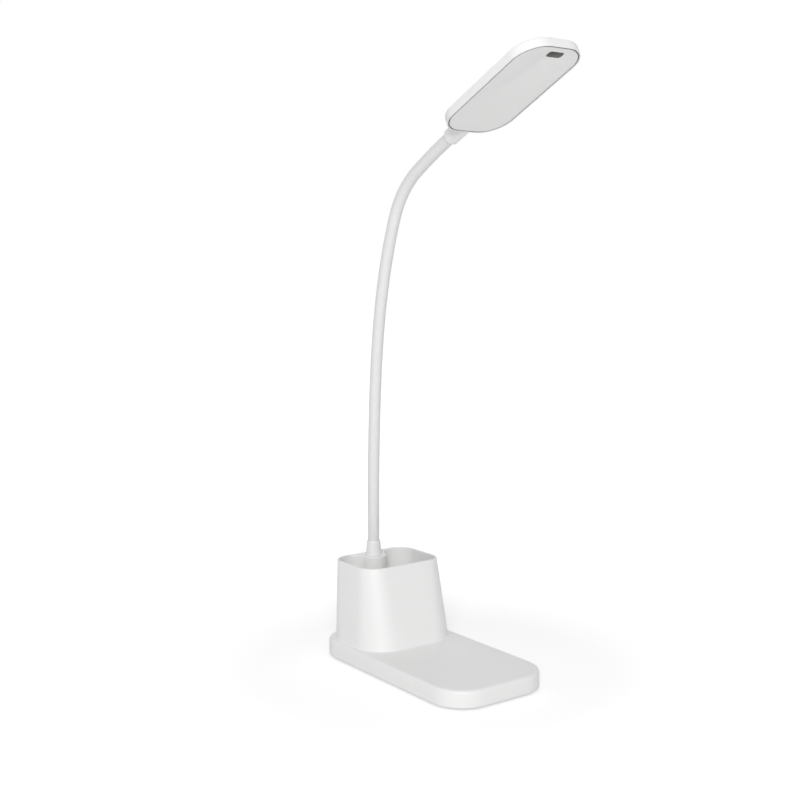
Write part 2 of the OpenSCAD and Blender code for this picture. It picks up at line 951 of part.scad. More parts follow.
module head_inside() {
    difference() {
        union() {
            translate([0, 0, seat_z])
                rounded_block(
                    head_w - 2 * seat_inset, head_l - 2 * seat_inset, head_r - seat_inset,
                    roof_inner - seat_z
                );
            crown(seat_inset + free_gap, head_wall);
        }
        neck_cradle();
        for (place = light_screw_places)
            translate([place[0], place[1], board_z + board_t])
                cylinder(r = small_screw_r + fit_gap / 2 + post_wall, h = head_side + head_crown);
    }
}

module head_housing() {
    color("white")
        at_head()
            difference() {
                union() {
                    soft_slab(head_w, head_l, head_r, head_side, head_round, lip_chamfer);
                    crown(crown_edge, crown_dip);
                    neck_hump();
                }
                translate([0, 0, -1])
                    rounded_block(head_w - 2 * head_lip, head_l - 2 * head_lip, head_r - head_lip, seat_z + 1);
                head_inside();
                translate([0, clamp_y - 1, neck_rise])
                    rotate([-90, 0, 0])
                        cylinder(r = spigot_r + fit_gap, h = head_back);
                for (place = light_screw_places)
                    translate([place[0], place[1], board_z])
                        cylinder(r = small_screw_r + fit_gap / 2, h = light_screw_l + free_gap);
                for (x = [-1, 1])
                    translate([x * clamp_screw_x, clamp_y + clamp_l / 2, board_z])
                        cylinder(r = small_screw_r + fit_gap / 2, h = neck_rise + clamp_bite - board_z + free_gap);
            }
}

module neck_clamp() {
    color("ivory")
        at_head()
            difference() {
                translate([-clamp_w / 2, clamp_y, clamp_z])
                    cube([clamp_w, clamp_l, neck_rise - fit_gap - clamp_z]);
                translate([0, clamp_y - 1, neck_rise])
                    rotate([-90, 0, 0])
                        cylinder(r = spigot_r + fit_gap, h = clamp_l + 2);
                for (x = [-1, 1])
                    translate([x * clamp_screw_x, clamp_y + clamp_l / 2, clamp_z - 1]) {
                        cylinder(r = small_screw_r + fit_gap, h = clamp_w);
                        cylinder(r = small_head_r + fit_gap, h = screw_head_h + 1);
                    }
            }
}

module clamp_screws() {
    color("silver")
        at_head()
            for (x = [-1, 1])
                translate([x * clamp_screw_x, clamp_y + clamp_l / 2, clamp_z + screw_head_h])
                    screw(small_screw_r, small_head_r, neck_rise + clamp_bite - clamp_z - screw_head_h);
}

module light_board() {
    color("white")
        at_head()
            difference() {
                translate([0, board_y, board_z])
                    rounded_block(board_w, board_l, board_corner_r, board_t);
                for (place = light_screw_places)
                    translate([place[0], place[1], board_z - 1])
                        cylinder(r = small_screw_r + fit_gap, h = board_t + 2);
            }
}

module light_board_screws() {
    color("silver")
        at_head()
            for (place = light_screw_places)
                translate([place[0], place[1], board_z])
                    screw(small_screw_r, small_head_r, light_screw_l);
}

module light_chips() {
    color("khaki")
        at_head()
            for (column = [0 : chip_columns - 1], row = [0 : chip_rows - 1])
                translate([
                    (column - (chip_columns - 1) / 2) * chip_column_pitch - light_chip_w / 2,
                    light_middle_y + (row - (chip_rows - 1) / 2) * chip_row_pitch - light_chip_l / 2,
                    board_z - light_chip_h
                ])
                    cube([light_chip_w, light_chip_l, light_chip_h]);
}

module window_outline(grow) {
    slot_outline(window_l + 2 * grow, window_w + 2 * grow);
}

module diffuser() {
    edge = head_lip + diffuser_gap;
    color("snow")
        at_head()
            difference() {
                translate([0, 0, diffuser_drop])
                    rounded_block(head_w - 2 * edge, head_l - 2 * edge, head_r - edge, diffuser_t);
                translate([window_x, window_y, 0])
                    linear_extrude(seat_z + 1)
                        window_outline(fit_gap);
            }
}

module touch_window() {
    color("dimgray")
        at_head()
            translate([window_x, window_y, 0]) {
                translate([0, 0, diffuser_drop])
                    linear_extrude(diffuser_t + window_flange_t)
                        window_outline(0);
                translate([0, 0, seat_z])
                    linear_extrude(window_flange_t)
                        window_outline(window_flange);
            }
}

// Sensing spring, pressed between the window and the light board
module touch_spring() {
    spring_from = seat_z + window_flange_t + spring_wire_r;
    spring_rise = board_z - window_flange_t - seat_z - 2 * spring_wire_r;
    steps = spring_steps * spring_turns;
    sides = spring_sides;
    points = [
        for (step = [0 : steps], side = [0 : sides - 1])
            let (
                turn = 360 * spring_turns * step / steps,
                out = spring_r + spring_wire_r * cos(360 * side / sides)
            )
            [
                out * cos(turn), out * sin(turn),
                spring_from + spring_rise * step / steps + spring_wire_r * sin(360 * side / sides)
            ]
    ];
    color("goldenrod")
        at_head()
            translate([window_x, window_y, 0])
                polyhedron(
                    points = points,
                    faces = concat(
                        [[for (side = [0 : sides - 1]) side]],
                        [
                            for (step = [0 : steps - 1], side = [0 : sides - 1])
                                let (a = step * sides, next = (side + 1) % sides)
                                each [
                                    [a + side, a + sides + side, a + sides + next],
                                    [a + side, a + sides + next, a + next]
                                ]
                        ],
                        [[for (side = [0 : sides - 1]) steps * sides + sides - 1 - side]]
                    )
                );
}

base_shell();
bottom_cover();
foot_ring();
cover_screws();
counterweight();
weight_screws();
battery_cell();
battery_leads();
battery_plug();
control_board();
board_screws();
control_chips();
usb_socket();
lower_collar();
neck_nut();
for (i = [0 : last_link]) {
    neck_sleeve(i);
    steel_hose(i);
    lamp_lead(i);
}
head_ferrule();
head_housing();
neck_clamp();
clamp_screws();
light_board();
light_board_screws();
light_chips();
diffuser();
touch_window();
touch_spring();
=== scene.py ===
"""Desk lamp with a pen cup: the visible pieces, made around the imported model.

Sizes are in millimetres where a piece is shaped and become metres when its mesh is made.
Z is up, the desk is z = 0, the plate's front is -Y and X is its width.
"""
import json
import math

import bmesh
import bpy
from mathutils import Matrix, Vector


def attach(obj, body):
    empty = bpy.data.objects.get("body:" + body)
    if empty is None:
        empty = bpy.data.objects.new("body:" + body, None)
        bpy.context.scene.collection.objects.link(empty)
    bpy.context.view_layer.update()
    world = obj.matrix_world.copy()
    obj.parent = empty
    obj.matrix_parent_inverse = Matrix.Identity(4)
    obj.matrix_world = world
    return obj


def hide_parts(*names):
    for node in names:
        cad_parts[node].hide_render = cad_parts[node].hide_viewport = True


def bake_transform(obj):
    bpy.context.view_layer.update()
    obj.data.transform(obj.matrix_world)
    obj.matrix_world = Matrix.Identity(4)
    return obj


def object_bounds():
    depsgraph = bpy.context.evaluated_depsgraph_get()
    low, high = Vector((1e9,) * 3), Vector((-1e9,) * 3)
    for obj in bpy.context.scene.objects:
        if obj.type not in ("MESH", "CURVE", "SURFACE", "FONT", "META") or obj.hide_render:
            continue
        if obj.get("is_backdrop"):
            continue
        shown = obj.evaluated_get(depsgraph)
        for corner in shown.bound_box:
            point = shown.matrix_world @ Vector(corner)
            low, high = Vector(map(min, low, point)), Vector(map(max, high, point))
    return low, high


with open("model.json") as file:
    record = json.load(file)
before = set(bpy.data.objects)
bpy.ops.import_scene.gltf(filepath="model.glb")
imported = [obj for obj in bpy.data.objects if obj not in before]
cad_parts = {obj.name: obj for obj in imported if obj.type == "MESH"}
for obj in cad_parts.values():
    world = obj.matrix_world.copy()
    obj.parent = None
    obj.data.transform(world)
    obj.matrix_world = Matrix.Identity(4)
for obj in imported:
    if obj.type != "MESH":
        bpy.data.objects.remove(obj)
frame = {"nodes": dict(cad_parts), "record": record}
cad_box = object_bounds()
MM = 0.001

# ------------------------------------------------------------------ sizes, as in the part's source

FOOT_H = 1.7
PLATE_W, PLATE_L, PLATE_R, PLATE_H = 90.0, 172.0, 25.4, 12.5
PLATE_ROUND, PLATE_CHAMFER = 2.5, 0.8
WALL = 2.0
PLATE_TOP = FOOT_H + PLATE_H
ROOF_Z = PLATE_TOP - WALL
PLATE_BACK = PLATE_L / 2

CUP_H = 60.4
CUP_FOOT = (82.0, 68.0, 24.4, 4.3)
CUP_RIM = (71.2, 52.8, 14.9, 5.2)
CUP_FILLET, FLOOR_ROUND = 1.4, 3.0
RIM_Z = PLATE_TOP + CUP_H

COLLAR_R = 6.2
NECK_Y = PLATE_BACK - CUP_RIM[3] - WALL - 0.1 - COLLAR_R
BOSS_R, BOSS_FLARE = 10.0, 10.0
BOSS_TOP = RIM_Z - 0.8
BOSS_CAP = 3.0
STEM_R, STEM_L = 3.8, 9.0
COLLAR_TOP_R, COLLAR_H, COLLAR_FLOOR = 5.3, 11.2, 2.0

# the hidden pieces that the screw posts and the socket's opening are placed by
COVER_TOP = FOOT_H + 2.0
COVER_SCREW_X, COVER_SCREW_INSET = 26.0, 18.0
WEIGHT_W, WEIGHT_L, WEIGHT_INSET, WEIGHT_SCREW_INSET = 64.0, 66.0, 26.0, 8.0
WEIGHT_TOP, WEIGHT_TO_SCREWS = COVER_TOP + 6.5, 6.0
CONTROL_W, CONTROL_L, CONTROL_SCREW_INSET = 36.0, 21.0, 3.0
CONTROL_TOP = COVER_TOP + 3.5
POST_WALL, SCREW_BORE, SMALL_BORE = 1.6, 1.25, 0.95
USB_W, USB_H, USB_Z, USB_ROOM = 8.94, 3.26, 8.83, 0.3

NECK_R, NECK_BORE = 4.5, 2.9
NECK_START_Z = BOSS_TOP + COLLAR_FLOOR
LINK_L = 43.6
LINK_BENDS = (0.0, 2.0, 1.5, 4.0, 6.0, 7.5, 37.0, 6.0)

HEAD_W, HEAD_L, HEAD_R, HEAD_SIDE = 53.8, 102.2, 19.2, 6.6
HEAD_WALL, HEAD_LIP, HEAD_SEAT, SEAT_Z = 1.6, 0.8, 2.6, 1.4
CROWN_H = 5.4
NECK_RISE = 6.2
FERRULE_R, FERRULE_L, FERRULE_SEAT = 6.0, 17.9, 10.0
SPIGOT_R, SPIGOT_L = 3.3, 15.4
HOSE_SETBACK, LEAD_REACH = 2.0, 6.0
WINDOW_PLACE_X, WINDOW_INSET, WINDOW_R = 1.8, 8.7, 1.9
WINDOW_SLOT, WINDOW_LENS = (12.6, 5.7), (12.4, 5.5)

# ------------------------------------------------------------------ finishes


def ramp(tree, value, start, end, low, high):
    """Spreads the values from start to end over low to high, and holds them there."""
    made = tree.nodes.new("ShaderNodeMapRange")
    for key, number in zip(("From Min", "From Max", "To Min", "To Max"), (start, end, low, high)):
        made.inputs[key].default_value = number
    tree.links.new(value, made.inputs["Value"])
    return made.outputs["Result"]


class Finish:
    """A material made of nodes, built up one feature at a time."""

    def __init__(self, name, colour, roughness):
        self.material = bpy.data.materials.new(name)
        self.material.use_nodes = True
        self.tree = self.material.node_tree
        self.shader = self.tree.nodes["Principled BSDF"]
        self.shader.inputs["Base Color"].default_value = (*colour, 1)
        self.shader.inputs["Roughness"].default_value = roughness
        self.place = self.node("ShaderNodeTexCoord").outputs["Object"]
        self.bump_normal = None

    def node(self, kind, **settings):
        made = self.tree.nodes.new(kind)
        for key, value in settings.items():
            if key in made.inputs:
                made.inputs[key].default_value = value
            else:
                setattr(made, key, value)
        return made

    def join(self, output, socket):
        self.tree.links.new(output, socket)

    def noise(self, cell_mm, detail=2.0):
        """Grey noise whose cells are about so many millimetres across."""
        made = self.node("ShaderNodeTexNoise", Scale=1 / (cell_mm * MM), Detail=detail)
        self.join(self.place, made.inputs["Vector"])
        return made.outputs["Fac"]

    def spread(self, grey, low, high):
        """Stretches noise, which keeps near its middle, over low to high."""
        return ramp(self.tree, grey, 0.3, 0.7, low, high)

    def vary_roughness(self, cell_mm, low, high):
        self.join(self.spread(self.noise(cell_mm), low, high), self.shader.inputs["Roughness"])
        return self

    def vary_colour(self, cell_mm, first, second):
        mix = self.node("ShaderNodeMix", data_type="RGBA")
        mix.inputs["A"].default_value = (*first, 1)
        mix.inputs["B"].default_value = (*second, 1)
        self.join(self.spread(self.noise(cell_mm), 0, 1), mix.inputs["Factor"])
        self.join(mix.outputs["Result"], self.shader.inputs["Base Color"])
        return self

    def paint_gap_shade(self, colour, shade):
        """Paints shade into the colour where the mesh's shade attribute is set: down in the gap round the
        diffuser, where shade falls.
        """
        mix = self.node("ShaderNodeMix", data_type="RGBA")
        mix.inputs["A"].default_value = (*colour, 1)
        mix.inputs["B"].default_value = (*shade, 1)
        shaded = self.node("ShaderNodeAttribute", attribute_name="painted_gap_shade")
        self.join(shaded.outputs["Fac"], mix.inputs["Factor"])
        self.join(mix.outputs["Result"], self.shader.inputs["Base Color"])
        return self

    def bump(self, height, depth_mm, strength=1.0):
        made = self.node("ShaderNodeBump", Strength=strength, Distance=depth_mm * MM)
        self.join(height, made.inputs["Height"])
        if self.bump_normal:
            self.join(self.bump_normal, made.inputs["Normal"])
        self.bump_normal = made.outputs["Normal"]
        self.join(self.bump_normal, self.shader.inputs["Normal"])
        return self

    def grain(self, cell_mm, depth_mm):
        return self.bump(self.noise(cell_mm, 3.0), depth_mm, 0.5)

    def set(self, **values):
        for key, value in values.items():
            self.shader.inputs[key.replace("_", " ")].default_value = value
        return self


# the grey that paints shade down in the gap round the diffuser
PAINTED_GAP_SHADE_GREY = (0.07, 0.07, 0.07)


def moulded(name, colour, low, high, grain_mm=0.35, depth_mm=0.012, joint=False):
    """Moulded plastic: a fine spark-eroded grain, and gloss that drifts a little with the flow."""
    finish = Finish(name, colour, low).vary_roughness(14, low, high)
    # with joint, painted shade darkens the colour in the gap round the diffuser
    if joint:
        finish.paint_gap_shade(colour, PAINTED_GAP_SHADE_GREY)
    return finish.grain(grain_mm, depth_mm).set(Specular_IOR_Level=0.5).material


def metal(name, colour, low, high, cell_mm=1.2):
    finish = Finish(name, colour, low).vary_roughness(cell_mm, low, high).set(Metallic=1.0)
    return finish.grain(cell_mm / 4, 0.004).material


def circuit_board(name, mask, copper):
    """Solder mask with faint copper runs under it."""
    finish = Finish(name, mask, 0.35)
    runs = finish.node("ShaderNodeTexBrick", Scale=220.0)
    finish.join(finish.place, runs.inputs["Vector"])
    runs.inputs["Color1"].default_value = (*mask, 1)
    runs.inputs["Color2"].default_value = (*mask, 1)
    runs.inputs["Mortar"].default_value = (*copper, 1)
    runs.inputs["Mortar Size"].default_value = 0.03
    finish.join(runs.outputs["Color"], finish.shader.inputs["Base Color"])
    return finish.bump(runs.outputs["Fac"], 0.02).set(Coat_Weight=0.4).material


WHITE = (0.92, 0.92, 0.915)
MATERIALS = {
    "white_shell": moulded("satin_white_shell", WHITE, 0.36, 0.46, joint=True),
    "white_cover": moulded("grained_white_cover", (0.78, 0.78, 0.775), 0.55, 0.65, 0.6, 0.03),
    "white_collar": moulded("satin_white_collar", WHITE, 0.34, 0.42),
    "opal_diffuser": moulded("opal_diffuser", (0.96, 0.96, 0.955), 0.52, 0.6, 0.8, 0.006, joint=True),
    "foot_rubber": moulded("grey_foot_rubber", (0.55, 0.55, 0.55), 0.75, 0.85, 0.5, 0.04),
    "plug_ivory": moulded("ivory_nylon", (0.74, 0.70, 0.58), 0.45, 0.55),
    "chip_black": moulded("black_chip", (0.02, 0.02, 0.022), 0.4, 0.5, 0.2, 0.01),
    "lead_cover": moulded("lead_cover", (0.70, 0.70, 0.69), 0.4, 0.5),
    "screw_steel": metal("plated_screw_steel", (0.62, 0.62, 0.63), 0.25, 0.38),
    "hose_steel": metal("wound_hose_steel", (0.5, 0.5, 0.51), 0.3, 0.45),
    "socket_steel": metal("stamped_socket_steel", (0.66, 0.66, 0.67), 0.2, 0.32),
    "weight_iron": metal("cast_weight_iron", (0.09, 0.09, 0.095), 0.55, 0.75, 2.0),
    "spring_brass": metal("spring_brass", (0.66, 0.46, 0.18), 0.2, 0.3),
    "battery_foil": metal("battery_foil", (0.58, 0.62, 0.66), 0.3, 0.5, 5.0),
    "board_green": circuit_board("green_board", (0.02, 0.13, 0.05), (0.04, 0.22, 0.09)),
    "light_board": circuit_board("white_light_board", (0.8, 0.8, 0.79), (0.7, 0.7, 0.69)),
    "light_chip": Finish("light_chip_phosphor", (0.8, 0.62, 0.12), 0.4)
    .vary_colour(0.6, (0.84, 0.68, 0.18), (0.74, 0.56, 0.10)).grain(0.2, 0.01).material,
    "smoked_window": Finish("smoked_window", (0.034, 0.028, 0.023), 0.2)
    .vary_roughness(3, 0.16, 0.26).set(Specular_IOR_Level=0.3).material,
    "white_sleeve": Finish("soft_white_sleeve", (0.82, 0.82, 0.815), 0.5)
    .vary_roughness(9, 0.44, 0.54).grain(0.25, 0.01).set(Sheen_Weight=0.05).material,
}

for part in frame["record"]["subparts"]:
    cad = frame["nodes"][part["node"]]
    cad.data.materials.clear()
    cad.data.materials.append(MATERIALS[part["material_slot"]])

# ------------------------------------------------------------------ mesh tools


def finished(name, bm, slot, body, *nodes, place=None, smooth=30):
    """Turns a bmesh in millimetres into a piece that rides on a body and stands for its nodes."""
    bmesh.ops.remove_doubles(bm, verts=bm.verts, dist=1e-4)
    bmesh.ops.dissolve_degenerate(bm, dist=1e-5, edges=bm.edges)
    bmesh.ops.recalc_face_normals(bm, faces=bm.faces)
    mesh = bpy.data.meshes.new(name)
    bm.to_mesh(mesh)
    bm.free()
    if place is not None:
        mesh.transform(place)
    mesh.transform(Matrix.Scale(MM, 4))
    mesh.materials.append(MATERIALS[slot])
    piece = bpy.data.objects.new(name, mesh)
    bpy.context.scene.collection.objects.link(piece)
    shade(mesh, smooth)
    if body:
        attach(piece, body)
    if nodes:
        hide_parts(*nodes)
    return piece


def shade(mesh, angle):
    """Smooth shading, with an edge wherever two faces meet at more than so many degrees."""
    mesh.shade_smooth()
    mesh.set_sharp_from_angle(angle=math.radians(angle))


def lofted(rings, bm=None, closed_ends=True):
    """A skin through rings of equally many points. The ends close with flat faces."""
    bm = bm or bmesh.new()
    grid = [[bm.verts.new(point) for point in ring] for ring in rings]
    for low, high in zip(grid, grid[1:]):
        for k in range(len(low)):
            after = (k + 1) % len(low)
            bm.faces.new((low[k], low[after], high[after], high[k]))
    if closed_ends:
        bm.faces.new(grid[0])
        bm.faces.new(grid[-1])
    return bm


def arc(x, y, radius, start, sweep, steps):
    """Points on an arc about (x, y), with both ends. Angles are in degrees."""
    return [
        (x + radius * math.cos(math.radians(start + sweep * k / steps)),
         y + radius * math.sin(math.radians(start + sweep * k / steps)))
        for k in range(steps + 1)
    ]


def spaced(count, low=0.0, high=1.0):
    """Evenly spaced values with both ends."""
    return [low + (high - low) * k / (count - 1) for k in range(count)]


def turned(profile, sides=72):
    """A closed solid of revolution about Z from (radius, height) points."""
    turns = [2 * math.pi * k / sides for k in range(sides)]
    rings = [[(r * math.cos(t), r * math.sin(t), z) for t in turns] for r, z in profile]
    return lofted(rings + rings[:1], closed_ends=False)


def rounded(points, radius, steps=6):
    """Rounds the corners of an open (radius, height) path, as far as its stretches allow."""
    path = [points[0]]
    for before, corner, after in zip(points, points[1:], points[2:]):
        a, b, c = (Vector(p) for p in (before, corner, after))
        reach = min(radius, (a - b).length * 0.45, (c - b).length * 0.45)
        first, last = b + (a - b).normalized() * reach, b + (c - b).normalized() * reach
        for t in spaced(steps + 1):
            path.append(tuple((1 - t) ** 2 * first + 2 * t * (1 - t) * b + t ** 2 * last))
    return path + [points[-1]]


def tube_tree():
    """Geometry Nodes: a tube along a path, grooved to a depth at every pitch, with a bore or without."""
    tree = bpy.data.node_groups.new("tube_along_path", "GeometryNodeTree")
    tree.interface.new_socket("Path", in_out="INPUT", socket_type="NodeSocketGeometry")
    for name in ("Radius", "Bore", "Pitch", "Depth"):
        tree.interface.new_socket(name, in_out="INPUT", socket_type="NodeSocketFloat")
    tree.interface.new_socket("Sides", in_out="INPUT", socket_type="NodeSocketInt")
    tree.interface.new_socket("Finish", in_out="INPUT", socket_type="NodeSocketMaterial")
    tree.interface.new_socket("Tube", in_out="OUTPUT", socket_type="NodeSocketGeometry")

    def node(kind, *feeds, **settings):
        made = tree.nodes.new(kind)
        for key, value in settings.items():
            setattr(made, key, value)
        for socket, feed in feeds:
            if isinstance(feed, (int, float)):
                made.inputs[socket].default_value = feed
            else:
                tree.links.new(feed, made.inputs[socket])
        return made.outputs[0]

    def maths(operation, *values):
        return node("ShaderNodeMath", *enumerate(values), operation=operation)

    given = tree.nodes.new("NodeGroupInput").outputs
    along = tree.nodes.new("GeometryNodeSplineParameter").outputs["Length"]
    path = node("GeometryNodeMeshToCurve", ("Mesh", given["Path"]))
    wave = maths("COSINE", maths("MULTIPLY", maths("DIVIDE", along, given["Pitch"]), 2 * math.pi))
    groove = maths("MULTIPLY", maths("MULTIPLY_ADD", wave, 0.5, 0.5), given["Depth"])
    profile = node("GeometryNodeCurvePrimitiveCircle", ("Resolution", given["Sides"]), ("Radius", 1.0))
    skins = []
    for size in (maths("SUBTRACT", given["Radius"], groove), given["Bore"]):
        skin = tree.nodes.new("GeometryNodeCurveToMesh")
        sized = node("GeometryNodeSetCurveRadius", ("Curve", path), ("Radius", size))
        tree.links.new(sized, skin.inputs["Curve"])
        tree.links.new(profile, skin.inputs["Profile Curve"])
        if "Scale" in skin.inputs:
            tree.links.new(size, skin.inputs["Scale"])
        skins.append(skin.outputs[0])
    both = tree.nodes.new("GeometryNodeJoinGeometry")
    for skin in skins:
        tree.links.new(skin, both.inputs[0])
    solid = node("GeometryNodeRealizeInstances", ("Geometry", both.outputs[0]))
    solid = node("GeometryNodeSetMaterial", ("Geometry", solid), ("Material", given["Finish"]))
    tree.links.new(solid, tree.nodes.new("NodeGroupOutput").inputs[0])
    return tree


def loops_of(bm):
    """The open ends of a mesh, as lists of edges."""
    left, loops = {edge for edge in bm.edges if edge.is_boundary}, []
    while left:
        loop, front = [], [left.pop()]
        while front:
            edge = front.pop()
            loop.append(edge)
            for vert in edge.verts:
                for other in vert.link_edges:
                    if other in left:
                        left.discard(other)
                        front.append(other)
        loops.append(loop)
    return loops


def middle_of(loop):
    verts = {vert for edge in loop for vert in edge.verts}
    return sum((vert.co for vert in verts), Vector()) / len(verts)


def piped(name, lines, slot, radius, bore=0.0, pitch=1.0, depth=0.0, sides=24):
    """Tubes along lines of points in millimetres, made by the tree above, with their ends closed."""
    points, edges = [], []
    for line in lines:
        edges += [(len(points) + k, len(points) + k + 1) for k in range(len(line) - 1)]
        points += [Vector(point) * MM for point in line]
    mesh = bpy.data.meshes.new(name)
    mesh.from_pydata(points, edges, [])
    piece = bpy.data.objects.new(name, mesh)
    bpy.context.scene.collection.objects.link(piece)
    modifier = piece.modifiers.new("tube", "NODES")
    modifier.node_group = TUBE
    values = {
        "Radius": radius * MM, "Bore": bore * MM, "Pitch": pitch * MM, "Depth": depth * MM,
        "Sides": sides, "Finish": MATERIALS[slot],
    }
    for socket in TUBE.interface.items_tree:
        if socket.name in values:
            modifier[socket.identifier] = values[socket.name]
    bpy.context.view_layer.update()
    piece.data = bpy.data.meshes.new_from_object(piece.evaluated_get(bpy.context.evaluated_depsgraph_get()))
    piece.modifiers.clear()
    bm = bmesh.new()
    bm.from_mesh(piece.data)
    if not bore:
        bmesh.ops.remove_doubles(bm, verts=bm.verts, dist=1e-6)
        bmesh.ops.dissolve_degenerate(bm, dist=1e-6, edges=bm.edges)
        loose = [vert for vert in bm.verts if not vert.link_faces]
        bmesh.ops.delete(bm, geom=loose, context="VERTS")
    ends = loops_of(bm)
    if bore:
        while ends:
            first = ends.pop()
            second = min(ends, key=lambda loop: (middle_of(loop) - middle_of(first)).length)
            ends.remove(second)
            bmesh.ops.bridge_loops(bm, edges=first + second)
    else:
        bmesh.ops.holes_fill(bm, edges=[edge for loop in ends for edge in loop], sides=0)
    bmesh.ops.recalc_face_normals(bm, faces=bm.faces)
    bm.to_mesh(piece.data)
    bm.free()
    shade(piece.data, 50)
    return piece


TUBE = tube_tree()

# ------------------------------------------------------------------ base: plate, cup and boss in one

CORNER = 20
FLARE_STEPS, BOSS_STEPS = 16, 40
REAR_POINTS = 2 * (FLARE_STEPS + 1) + BOSS_STEPS + 1
# how far to the side the boss's flanks reach at the rim
RIM_WALL_Y = PLATE_BACK - CUP_RIM[3] - WALL
FLANK_REACH = math.sqrt((BOSS_R + BOSS_FLARE) ** 2 - (RIM_WALL_Y - BOSS_FLARE - NECK_Y) ** 2)


def flank_circle(radius, flare, back, half, corner):
    """Middle of a flank's circle, which touches the boss and the wall, and where it leaves the wall."""
    behind = back - flare - NECK_Y
    reach = math.sqrt((radius + flare) ** 2 - behind ** 2)
    if reach <= half:
        return Vector((reach, NECK_Y + behind)), 90.0
    # past the wall's flat stretch it touches the corner's arc
    boss, bend = Vector((0, NECK_Y)), Vector((half, back - corner))
    apart = (bend - boss).length
    ahead = (bend - boss) / apart
    near = ((radius + flare) ** 2 - (corner - flare) ** 2 + apart ** 2) / (2 * apart)
    aside = Vector((-ahead.y, ahead.x)) * math.sqrt((radius + flare) ** 2 - near ** 2)
    middle = boss + ahead * near + aside
    return middle, math.degrees(math.atan2(middle.y - bend.y, middle.x - bend.x))


def rear_run(back, half, corner, boss):
    """The stretch of an outline behind the neck, plain or led round the boss, and where it starts."""
    if boss is None:
        reach = min(FLANK_REACH, half - 0.1)
        return [(reach - 2 * reach * t, back) for t in spaced(REAR_POINTS)], 90.0
    radius, flare = boss
    middle, leaves = flank_circle(radius, flare, back, half, corner)
    turn = math.degrees(math.atan2(middle.y - NECK_Y, middle.x))
    right = arc(*middle, flare, leaves, 180 + turn - leaves, FLARE_STEPS)
    left = [(-x, y) for x, y in reversed(right)]
    return right + arc(0, NECK_Y, radius, turn, -180 - 2 * turn, BOSS_STEPS) + left, leaves


def base_outline(width, length, radius, back, z, boss=None):
    """A rounded rectangle at a height, from its right side round the back, the left and the front."""
    half, rear, front = width / 2 - radius, back - radius, back - length + radius
    behind, leaves = rear_run(back, half, radius, boss)
    run = arc(half, rear, radius, 0, leaves, CORNER) + behind
    run += arc(-half, rear, radius, 180 - leaves, leaves, CORNER) + arc(-half, front, radius, 180, 90, CORNER)
    run += arc(half, front, radius, 270, 90, CORNER)
    return [(x, y, z) for x, y in run]


def plate_outline(inset, z):
    return base_outline(PLATE_W - 2 * inset, PLATE_L - 2 * inset, PLATE_R - inset, PLATE_BACK - inset, z)


def cup_outline(above, inset, boss=None):
    """The cup's outline at a height above the plate, moved in by an inset."""
    share = above / CUP_H
    width, length, radius, back_inset = (
        foot + share * (rim - foot) for foot, rim in zip(CUP_FOOT, CUP_RIM)
    )
    return base_outline(
        width - 2 * inset, length - 2 * inset, radius - inset,
        PLATE_BACK - back_inset - inset, PLATE_TOP + above, boss,
    )


def quarter(steps):
    """(1 - cos, sin) pairs of a quarter turn, from a wall round to a top."""
    return [(1 - math.cos(t), math.sin(t)) for t in spaced(steps + 1, 0, math.pi / 2)]


def base_rings():
    lip, edge = 0.8, 0.8
    rings = [plate_outline(WALL, ROOF_Z), plate_outline(WALL, FOOT_H)]
    rings += [
        plate_outline(PLATE_CHAMFER * (1 - sine), FOOT_H + PLATE_CHAMFER * rise)
        for rise, sine in quarter(4)
    ]
    rings += [
        plate_outline(PLATE_ROUND * rise, PLATE_TOP - PLATE_ROUND * (1 - sine))
        for rise, sine in quarter(10)
    ]
    rings += [
        cup_outline(CUP_FILLET * rise, -CUP_FILLET * (1 - sine)) for rise, sine in quarter(8)
    ]
    rings += [cup_outline(above, 0) for above in spaced(6, 8, CUP_H - 6)]
    rings += [cup_outline(CUP_H - lip * (1 - sine), lip * rise) for rise, sine in quarter(6)]
    rings += [
        cup_outline(CUP_H - lip * (1 - sine), WALL - lip * rise) for rise, sine in reversed(quarter(6))
    ]
    # the boss's flat top lies 0.8 mm below the rim and has a soft edge
    top = BOSS_TOP - PLATE_TOP
    rings += [cup_outline(top, WALL)]
    rings += [
        cup_outline(top - edge * rise, WALL, (BOSS_R - edge * (1 - sine), BOSS_FLARE + edge * (1 - sine)))
        for rise, sine in quarter(5)
    ]
    rings += [cup_outline(above, WALL, (BOSS_R, BOSS_FLARE)) for above in spaced(6, CUP_H - 6, 8)]
    rings += [
        cup_outline(
            FLOOR_ROUND * (1 - sine), WALL + FLOOR_ROUND * rise,
            (BOSS_R + FLOOR_ROUND * rise, BOSS_FLARE - FLOOR_ROUND * rise),
        )
        for rise, sine in quarter(6)
    ]
    return rings


def slot_ring(width, height, y, z, steps=12):
    """A round-ended slot's outline, standing up in the plane at y."""
    reach = (width - height) / 2
    points = arc(reach, 0, height / 2, -90, 180, steps) + arc(-reach, 0, height / 2, 90, 180, steps)
    return [(px, y, z + pz) for px, pz in points]


def base_cutters():
    """The room inside the boss, the stem's hole, and the socket's opening with its soft mouth."""
    bm = bmesh.new()
    cap = BOSS_TOP - BOSS_CAP
    room = (BOSS_R - WALL, ROOF_Z - 1, cap, 5.0)
    stem_hole = (STEM_R + 0.3, cap - 1, BOSS_TOP + 1, 9.0)
    for radius, low, high, reach in (room, stem_hole):
        flat = [(x, min(y, NECK_Y + reach)) for x, y in arc(0, NECK_Y, radius, 0, 360, 48)[:-1]]
        lofted([[(x, y, z) for x, y in flat] for z in (low, high)], bm)
    mouth = [(WALL + 1, 0.0), (0.5, 0.0), (0.15, 0.12), (-0.05, 0.45), (-0.5, 0.9)]
    lofted([
        slot_ring(USB_W + 2 * (USB_ROOM + grow), USB_H + 2 * (USB_ROOM + grow), PLATE_BACK - depth, USB_Z)
        for depth, grow in mouth
    ], bm)
    bmesh.ops.recalc_face_normals(bm, faces=bm.faces)
    return bm


